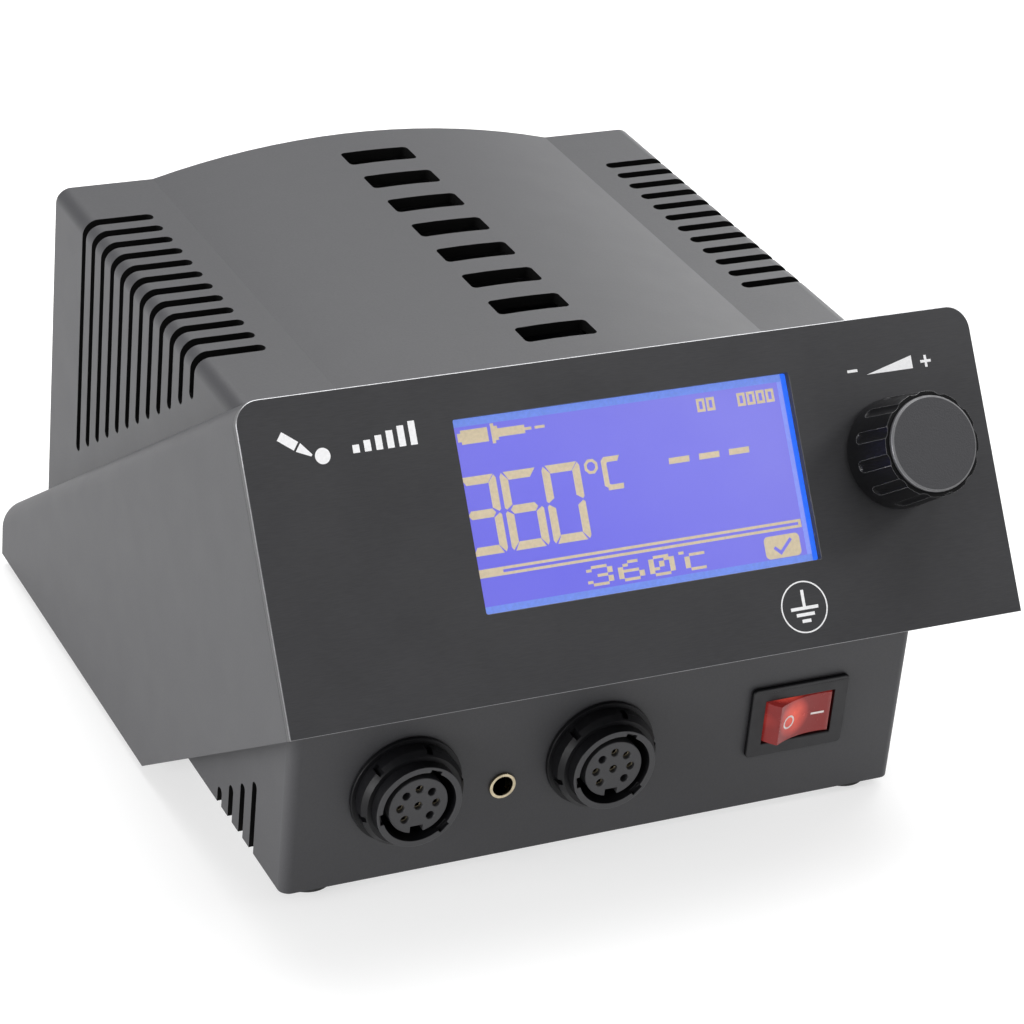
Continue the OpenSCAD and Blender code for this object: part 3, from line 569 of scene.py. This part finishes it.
FINISHES = {
    "housing_plastic": moulded_plastic("housing_plastic", (0.041, 0.041, 0.0445), 0.5),
    "panel_black": powder_coat("panel_black", (0.02, 0.02, 0.022), 0.45),
    "base_steel": plated_steel("base_steel", (0.5, 0.51, 0.52), 0.4),
    "fascia_black": brushed_metal("fascia_black", (0.043, 0.043, 0.046), 0.42, 0.35, ALONG_X),
    "lens_clear": clear_lens(),
    "display_blue": lit_display(),
    "frame_steel": plated_steel("frame_steel", (0.4, 0.41, 0.42), 0.38),
    "diffuser_white": moulded_plastic("diffuser_white", (0.75, 0.78, 0.82), 0.5),
    "board_green": circuit_board("board_green", (0.02, 0.12, 0.05)),
    "zinc_steel": plated_steel("zinc_steel", (0.6, 0.6, 0.62), 0.32),
    "knob_black": glossy_plastic("knob_black", (0.004, 0.004, 0.0045), 0.36, 0.18),
    "knob_cap": moulded_plastic("knob_cap", (0.046, 0.046, 0.05), 0.5, 0.3, 0.05),
    "socket_black": glossy_plastic("socket_black", (0.006, 0.006, 0.007), 0.34, 0.22),
    "insert_grey": moulded_plastic("insert_grey", (0.04, 0.04, 0.043), 0.5, 0.25, 0.02),
    "brass": brass_plate("brass", (0.66, 0.57, 0.4)),
    "rocker_red": lamp_red(),
    "tin_brass": brass_plate("tin_brass", (0.7, 0.66, 0.52)),
    "fuse_glass": glass_tube(),
    "laminations": ribbed("laminations", (0.1, 0.1, 0.11), 0.45, 0.6, 0.6, "Y", 0.15),
    "copper_winding": ribbed("copper_winding", (0.5, 0.2, 0.07), 0.3, 0.9, 0.8, "Z", 0.3),
    "sink_aluminium": brushed_metal("sink_aluminium", (0.6, 0.61, 0.62), 0.35, 1.0, ALONG_Z),
    "component_black": moulded_plastic("component_black", (0.02, 0.02, 0.02), 0.55),
    "sleeve_blue": glossy_plastic("sleeve_blue", (0.02, 0.035, 0.14), 0.3),
    "terminal_green": glossy_plastic("terminal_green", (0.02, 0.2, 0.06), 0.4),
    "ribbon_grey": ribbed("ribbon_grey", (0.35, 0.35, 0.37), 0.5, 0.0, 1.27, "X", 0.3),
    "rubber_black": rubber("rubber_black", (0.02, 0.02, 0.02)),
}


def dress_cad_pieces():
    """Gives every CAD piece a finish chosen by its material slot, and smooth shading."""
    switch_frame = glossy_plastic("switch_frame", (0.018, 0.018, 0.02), 0.45, 0.35)
    for name, piece in NODES.items():
        slot = SLOT_OF[name]
        finish = switch_frame if name == "switch_housing" else FINISHES[slot]
        piece.data.materials.clear()
        piece.data.materials.append(finish.data)
        for face in piece.data.polygons:
            face.use_smooth = True


def paint_switch_side_shade():
    """Painted shade: the switch frame's sides get the near-black socket finish, blacker than its
    front, in place of their shadow.
    """
    frame_mesh = NODES["switch_housing"].data
    frame_mesh.materials.append(FINISHES["socket_black"].data)
    for face in frame_mesh.polygons:
        # painted shade on the side faces, the frame's own finish on its front
        face.material_index = 1 if abs(face.normal.y) < 0.5 else 0


def dress_fuse():
    """Metal caps on the two ends of the fuse's glass tube."""
    fuse = NODES["fuse"]
    low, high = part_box("fuse")
    middle = (low.y + high.y) / 2
    cap_start = 4.8 * MM  # from the fuse's middle
    fuse.data.materials.append(FINISHES["tin_brass"].data)
    for face in fuse.data.polygons:
        face.material_index = 1 if abs(face.center.y - middle) > cap_start else 0


def lighten_socket_rims():
    """The sockets' front rims are of the same grey plastic as their inserts."""
    for node in ("left_socket_shell", "right_socket_shell"):
        shell = NODES[node]
        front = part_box(node)[0].y
        shell.data.materials.append(FINISHES["insert_grey"].data)
        for face in shell.data.polygons:
            ahead = face.normal.y < -0.9 and face.center.y < front + 0.1 * MM
            face.material_index = 1 if ahead else 0


def paint_inside_shade():
    """Painted shade: a near-black colour on the faces of the housing and hood that look at their
    own inside, in place of the shade in their slots and hollows.
    """
    dark = moulded_plastic("inside_painted_shade", (0.003, 0.003, 0.003), 0.8)
    dark.set("Specular IOR Level", 0.1)
    for node in ("housing_cover", "front_hood"):
        shell = NODES[node]
        shell.data.materials.append(dark.data)
        for face in shell.data.polygons:
            # painted shade goes on each face whose outward ray hits the same shell again: slot
            # walls and inner faces
            just_off = face.center + face.normal * 0.01 * MM
            hit, _, _, _ = shell.ray_cast(just_off, face.normal)
            face.material_index = 1 if hit else 0


def on_fascia_rim(key):
    """True for an edge on the outer rim of the fascia's front face."""
    back = FASCIA.inverted()
    half_width = CAD_BOUNDS[1].x
    for end in key:
        place = back @ (Vector(end) * MM)
        inside_sides = abs(place.x) < half_width - 5 * MM
        inside_ends = 1 * MM < place.y < (FASCIA_LENGTH - 1) * MM
        off_face = abs(place.z) > 0.02 * MM
        if off_face or (inside_sides and inside_ends):
            return False
    return True


def on_knob_outside(key):
    """True for an edge on the knob's flutes or round its rim, not inside its hollow."""
    back = FASCIA.inverted()
    low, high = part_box("knob")
    middle = back @ ((low + high) / 2)
    hollow = 8.85 * MM  # radius that holds all of the knob's inner edges
    skirt = 2 * MM  # top of the edges near the fascia
    for end in key:
        place = back @ (Vector(end) * MM)
        around = Vector((place.x - middle.x, place.y - middle.y)).length
        if around < hollow or place.z < skirt:
            return False
    return True


def round_cad_edges():
    """Small radii on the edges of the moulded, turned and pressed pieces."""
    bright = brushed_metal("cut_edge", (0.3, 0.3, 0.31), 0.45, 0.9, ALONG_X)
    NODES["fascia_plate"].data.materials.append(bright.data)
    soften("fascia_plate", 0.08, 1, border=on_fascia_rim)
    # Painted highlight: a lighter grey chamfer on the knob's flutes and rim and round its cap
    # stands in for the glints of light along these edges.
    painted_highlight = glossy_plastic("knob_edge_highlight", (0.13, 0.13, 0.135), 0.3, 0.7)
    NODES["knob"].data.materials.append(painted_highlight.data)
    soften("knob", 0.16, 2, border=on_knob_outside, border_width=0.2)
    NODES["knob_cap"].data.materials.append(painted_highlight.data)
    soften("knob_cap", 0.1, 1, border=lambda key: True, border_width=0.16)
    widths = {
        "housing_cover": 0.25,
        "front_hood": 0.3,
        "rear_panel": 0.1,
        "base_plate": 0.12,
        "encoder_nut": 0.15,
        "left_socket_shell": 0.25,
        "right_socket_shell": 0.25,
        "left_socket_ring": 0.25,
        "right_socket_ring": 0.25,
        "left_socket_insert": 0.15,
        "right_socket_insert": 0.15,
        "left_socket_contacts": 0.06,
        "right_socket_contacts": 0.06,
        "earth_jack": 0.12,
        "switch_housing": 0.25,
        "switch_rocker": 0.45,
        "switch_terminals": 0.1,
        "mains_inlet": 0.25,
        "inlet_pins": 0.3,
        "fuse_drawer": 0.2,
        "interface_socket": 0.2,
        "interface_insert": 0.15,
        "transformer_core": 0.15,
        "transformer_winding": 0.5,
        "transformer_bracket": 0.2,
        "main_board": 0.1,
        "control_board": 0.1,
        "heat_sink": 0.15,
        "power_transistors": 0.2,
        "capacitors": 0.2,
        "terminal_block": 0.2,
        "buzzer": 0.25,
        "rubber_feet": 0.2,
        "base_screws": 0.12,
        "rear_panel_screws": 0.12,
        "hood_screws": 0.12,
    }
    for node, width in widths.items():
        soften(node, width)


# ---- display picture ------------------------------------------------------------------------

DIGIT_W = 7.35  # large digit
DIGIT_H = 13.85
DIGIT_PITCH = 8.1
STROKE = 1.5
MITRE = 0.14  # half the gap between neighbouring strokes
CORNER_CUT = 0.6  # chamfer on a large digit's outer corners
TIP = 0.35  # setback of a stroke's outer point from its end
SLANT = 0.75  # drop of a stroke's inner corner from its end
SEGMENTS_OF = {"0": "abcdef", "3": "abcdg", "6": "acdefg"}


def segment_outline(segment):
    """One stroke of a seven-segment digit whose lower left corner is at 0, 0."""
    w, h, t, g, cut = DIGIT_W, DIGIT_H, STROKE, MITRE, CORNER_CUT
    middle = h / 2 + 0.2
    corner = t - 0.2  # inner end of a stroke beside a flat one
    if segment in "bc":
        mirrored = segment_outline("f" if segment == "b" else "e")
        return [(w - x, y) for x, y in mirrored]
    if segment == "a":
        return [(cut + g, h), (w - cut + g, h), (w - t - g, h - t), (t + g, h - t)]
    if segment == "d":
        return [(t + g, t), (w - t - g, t), (w - cut - g, 0), (cut + g, 0)]
    if segment == "g":
        point = 0.9 + g
        upper = [(point, middle), (t + g, middle + t / 2), (w - t - g, middle + t / 2)]
        lower = [(w - point, middle), (w - t - g, middle - t / 2), (t + g, middle - t / 2)]
        return upper + lower
    if segment == "f":
        low, high = middle + g, h - g
        outer = [(0, low + TIP), (0, high - cut), (cut * 0.6, high)]
        return outer + [(t, high - corner), (t, low + SLANT), (TIP, low)]
    low, high = g, middle - g
    outer = [(0, low + cut), (0, high - TIP), (TIP, high)]
    return outer + [(t, high - SLANT), (t, low + corner), (cut * 0.6, low)]


def large_digits(text, left, bottom):
    outlines = []
    for i, digit in enumerate(text):
        for segment in SEGMENTS_OF[digit]:
            points = segment_outline(segment)
            outlines.append([(x + left + i * DIGIT_PITCH, y + bottom) for x, y in points])
    return outlines


SMALL_DIGITS = {
    "3": [".###.", "#...#", "....#", "..##.", "....#", "#...#", ".###."],
    "6": ["..##.", ".#...", "#....", "####.", "#...#", "#...#", ".###."],
    "0": [".###.", "#..##", "#.#.#", "#.#.#", "##..#", "#...#", ".###."],
    "C": ["#....", "..###", ".#...", ".#...", ".#...", ".#...", "..###"],
}
IRON_MARK = [
    "..........#...............",
    ".########.##..............",
    "#########.##########......",
    "#########.############.###",
    "#########.##########......",
    ".########.##..............",
    "..........#...............",
]


def degree_outlines():
    """The degree sign, an eight-sided ring, and the C after the large digits."""
    ring = [circle_outline(-7.75, 5.65, radius, 8, math.pi / 8) for radius in (1.4, 0.85)]
    unit = [
        (-5.1, 6.97), (-1.97, 6.97), (-2.5, 6.0), (-4.55, 6.0), (-4.72, 5.7),
        (-4.72, 2.1), (-4.35, 1.98), (-1.97, 1.98), (-2.1, 1.02), (-5.1, 1.02),
        (-5.1, 1.5), (-5.72, 1.9), (-5.72, 6.35),
    ]
    return ring + [unit]


def dash_outlines():
    """Three dashes where the second channel's reading would be."""
    width, low, high, shear = 4.1, 3.97, 5.07, 0.1
    outlines = []
    for i in range(3):
        left = 7.48 + i * 6.08
        right = left + width
        outlines.append([(left, low), (right, low), (right + shear, high), (left + shear, high)])
    return outlines


def display_outlines():
    """Everything that the display shows, from the middle of its window, in mm."""
    outlines = large_digits("360", -33.52, -6.88) + degree_outlines() + dash_outlines()
    # heating bar: a frame that is filled at its left end
    outlines.append(box_outline(-33.2, -10.73, 31.53, -9.23))
    outlines.append(box_outline(-27.8, -10.23, 30.95, -9.73))
    # small reading
    for i, digit in enumerate("360C"):
        outlines += pixel_outlines(SMALL_DIGITS[digit], -12.22 + i * 6.12, -11.63, 1.02, 0.514)
    # key field with a tick
    outlines.append(rounded_outline(23.38, -15.63, 30.63, -11.53, 0.9))
    outlines.append(stroke_outline([(25.3, -13.6), (26.5, -14.7), (28.9, -12.4)], 0.6))
    # pictogram of the iron, and empty level fields, along the top
    outlines += pixel_outlines(IRON_MARK, -31.97, 15.62, 0.644, 0.5)
    for left in (14.93, 16.93, 23.18, 25.14, 27.1, 29.06):
        outlines.append(box_outline(left, 12.37, left + 1.65, 14.77))
        outlines.append(box_outline(left + 0.5, 12.87, left + 1.15, 14.27))
    return outlines


def add_display_picture():
    """The display's marks, and the paler strips round its lit area."""
    beige = lit_strip("display_marks", (0.58, 0.49, 0.34))
    sky = lit_strip("display_sky", (0.16, 0.26, 0.76))
    edge = lit_strip("display_edge", (0.03, 0.16, 0.95))
    pale = lit_strip("display_pale", (0.24, 0.3, 0.86))
    window_h = 17.05
    sheets = [
        ("display_marks", display_outlines(), 0.02, beige),
        ("display_top", [box_outline(-35, 15.75, 34.2, window_h + 1)], 0.01, sky),
        ("display_bottom", [box_outline(-35, -window_h - 1, 34.2, -15.75)], 0.01, sky),
        ("display_right", [box_outline(31.7, -15.75, 32.6, 15.75)], 0.01, pale),
        ("display_side", [box_outline(32.6, -window_h - 1, 34.9, window_h + 1)], 0.015, edge),
    ]
    for name, outlines, lift, finish in sheets:
        sheet_piece(name, outlines, DISPLAY, lift, 0.03, finish.data)


# ---- printing on the fascia -------------------------------------------------------------------


def level_outlines():
    """Soldering tip over a round joint, and rising bars beside it."""
    middle_up = FASCIA_LENGTH - 9.3
    along = Vector((0.8, -0.6))
    across = Vector((0.6, 0.8))
    top = Vector((-65.2, middle_up + 2.6))
    outlines = []
    for start, end, half_start, half_end in ((0, 3.4, 0.85, 0.85), (3.8, 6.6, 0.85, 0.2)):
        near, far = top + along * start, top + along * end
        corners = (
            near - across * half_start, far - across * half_end,
            far + across * half_end, near + across * half_start,
        )
        outlines.append([tuple(corner) for corner in corners])
    outlines.append(circle_outline(-58.0, middle_up - 1.7, 1.4, 32))
    bar_width = 1.25
    for i in range(6):
        left = -52.4 + i * 2.15
        height = middle_up - 0.6 + i * 0.55
        outlines.append(box_outline(left, middle_up - 2.0, left + bar_width, height))
    return outlines


def plus_outline(x, y, reach, half):
    """A plus sign; its arms reach this far from the middle."""
    return [
        (x - reach, y - half), (x - half, y - half), (x - half, y - reach), (x + half, y - reach),
        (x + half, y - half), (x + reach, y - half), (x + reach, y + half), (x + half, y + half),
        (x + half, y + reach), (x - half, y + reach), (x - half, y + half), (x - reach, y + half),
    ]


def dial_outlines():
    """Minus, wedge and plus over the knob."""
    up = FASCIA_LENGTH - 9.4
    half = 0.25  # half the thickness of the minus and the plus
    minus = box_outline(45.3, up - half, 47.4, up + half)
    wedge = [(49.2, up - 1.0), (59.0, up - 1.0), (59.0, up + 1.4)]
    return [minus, wedge, plus_outline(61.9, up, 1.1, half)]


def earth_outlines():
    """The general earth symbol in a ring."""
    x, up = 28.0, FASCIA_LENGTH - 50
    outlines = [circle_outline(x, up, radius, 72) for radius in (4.7, 4.45)]
    outlines.append(box_outline(x - 0.3, up + 0.1, x + 0.3, up + 3.1))
    for i in range(3):
        half = 2.8 - i * 0.95
        top = up + 0.1 - i * 1.15
        outlines.append(box_outline(x - half, top - 0.6, x + half, top))
    return outlines


def add_printing():
    """Generic signs in place of the real station's marks."""
    ink = printed_ink("print_white", (0.82, 0.82, 0.83))
    signs = {
        "print_level": level_outlines(),
        "print_dial": dial_outlines(),
        "print_earth": earth_outlines(),
    }
    for name, outlines in signs.items():
        sheet_piece(name, outlines, FASCIA, 0.005, 0.03, ink.data)


# ---- rocker symbols ----------------------------------------------------------------------------


def add_rocker_signs():
    """Ring and dash printed on the rocker's hollow face, laid onto its real surface."""
    rocker = NODES["switch_rocker"]
    low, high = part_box("switch_rocker")
    middle = (low + high) / 2 / MM
    ring_x, ring_z = middle.x - 2.5, middle.z - 0.2
    dash_half = 0.22
    dash_low, dash_high = middle.z - dash_half, middle.z + dash_half
    signs = {
        "rocker_ring": [circle_outline(ring_x, ring_z, radius, 40) for radius in (1.4, 1.05)],
        "rocker_dash": [box_outline(middle.x + 2.9, dash_low, middle.x + 5.7, dash_high)],
    }
    ink = printed_ink("rocker_print", (0.85, 0.78, 0.76))
    for name, outlines in signs.items():
        mesh = sheet_mesh(name, outlines, 0.04)
        for vertex in mesh.vertices:
            start = Vector((vertex.co.x * MM, low.y - 5 * MM, vertex.co.y * MM))
            hit, place, _, _ = rocker.ray_cast(start, Vector((0, 1, 0)))
            lift = Vector((0, -(vertex.co.z + 0.01) * MM, 0))
            vertex.co = place + lift if hit else start
        add_piece(name, mesh, ink.data, "rocker")


# ---- stage, light and camera --------------------------------------------------------------------


def add_floor():
    """A white studio floor that glows a little, so that only soft shadows show on it."""
    finish = Finish("floor", (0.42, 0.42, 0.42), 0.9)
    finish.vary_colour(finish.noise(600), 0.995, 1.005)
    finish.set("Emission Color", (1, 1, 1, 1))
    finish.set("Emission Strength", 0.62)
    mesh = bpy.data.meshes.new("floor")
    reach = 3.0
    mesh.from_pydata(
        [(-reach, -reach, 0), (reach, -reach, 0), (reach, reach, 0), (-reach, reach, 0)],
        [],
        [(0, 1, 2, 3)],
    )
    floor = bpy.data.objects.new("floor", mesh)
    bpy.context.scene.collection.objects.link(floor)
    mesh.materials.append(finish.data)


def add_softbox(name, place, target, size, power):
    """A square area light at a place, aimed at a target; all in metres and watts."""
    light = bpy.data.lights.new(name, "AREA")
    light.shape = "SQUARE"
    light.size = size
    light.energy = power
    lamp = bpy.data.objects.new(name, light)
    bpy.context.scene.collection.objects.link(lamp)
    lamp.location = place
    lamp.rotation_mode = "QUATERNION"
    aim = Vector(target) - Vector(place)
    lamp.rotation_quaternion = aim.to_track_quat("-Z", "Y")


def add_lights():
    """An even white surround, with one large light above and smaller ones at the sides."""
    world = bpy.data.worlds.new("studio")
    world.use_nodes = True
    background = world.node_tree.nodes["Background"]
    background.inputs["Color"].default_value = (1, 1, 1, 1)
    background.inputs["Strength"].default_value = 0.4
    bpy.context.scene.world = world
    middle = (CAD_BOUNDS[0] + CAD_BOUNDS[1]) / 2
    # place, size and power of each light
    add_softbox("top_light", (0.15, 0.3, 0.95), middle, 0.9, 14)
    add_softbox("left_light", (-0.95, -0.15, 0.1), middle, 0.6, 12)
    add_softbox("right_light", (0.7, 0.5, 0.4), middle, 0.6, 3)
    add_softbox("key_light", (0.75, -0.35, 0.75), middle, 0.25, 2)


def add_camera():
    """The viewpoint: from the station's left front, above, with a slight tilt of the horizon."""
    azimuth = math.radians(-28.03)
    elevation = math.radians(28.8)
    roll = math.radians(5.63)
    forward = Vector(
        (
            -math.sin(azimuth) * math.cos(elevation),
            math.cos(azimuth) * math.cos(elevation),
            -math.sin(elevation),
        )
    )
    level_right = forward.cross(Vector((0, 0, 1))).normalized()
    level_up = level_right.cross(forward)
    right = level_right * math.cos(roll) + level_up * math.sin(roll)
    up = right.cross(forward)
    target = Vector((0, -5, 50)) * MM
    distance = 674.07 * MM
    place = target + right * 1.40 * MM - up * 5.68 * MM - forward * distance
    data = bpy.data.cameras.new("camera")
    data.lens = 124.49
    data.sensor_width = 36
    data.clip_start = 0.05
    data.clip_end = 20
    camera = bpy.data.objects.new("camera", data)
    bpy.context.scene.collection.objects.link(camera)
    axes = Matrix((right, up, -forward)).transposed().to_4x4()
    camera.matrix_world = Matrix.Translation(place) @ axes
    bpy.context.scene.camera = camera


dress_cad_pieces()
paint_switch_side_shade()
paint_inside_shade()
dress_fuse()
lighten_socket_rims()
round_cad_edges()
add_display_picture()
add_printing()
add_rocker_signs()
add_floor()
add_lights()
add_camera()
bpy.context.scene.view_settings.view_transform = "Standard"
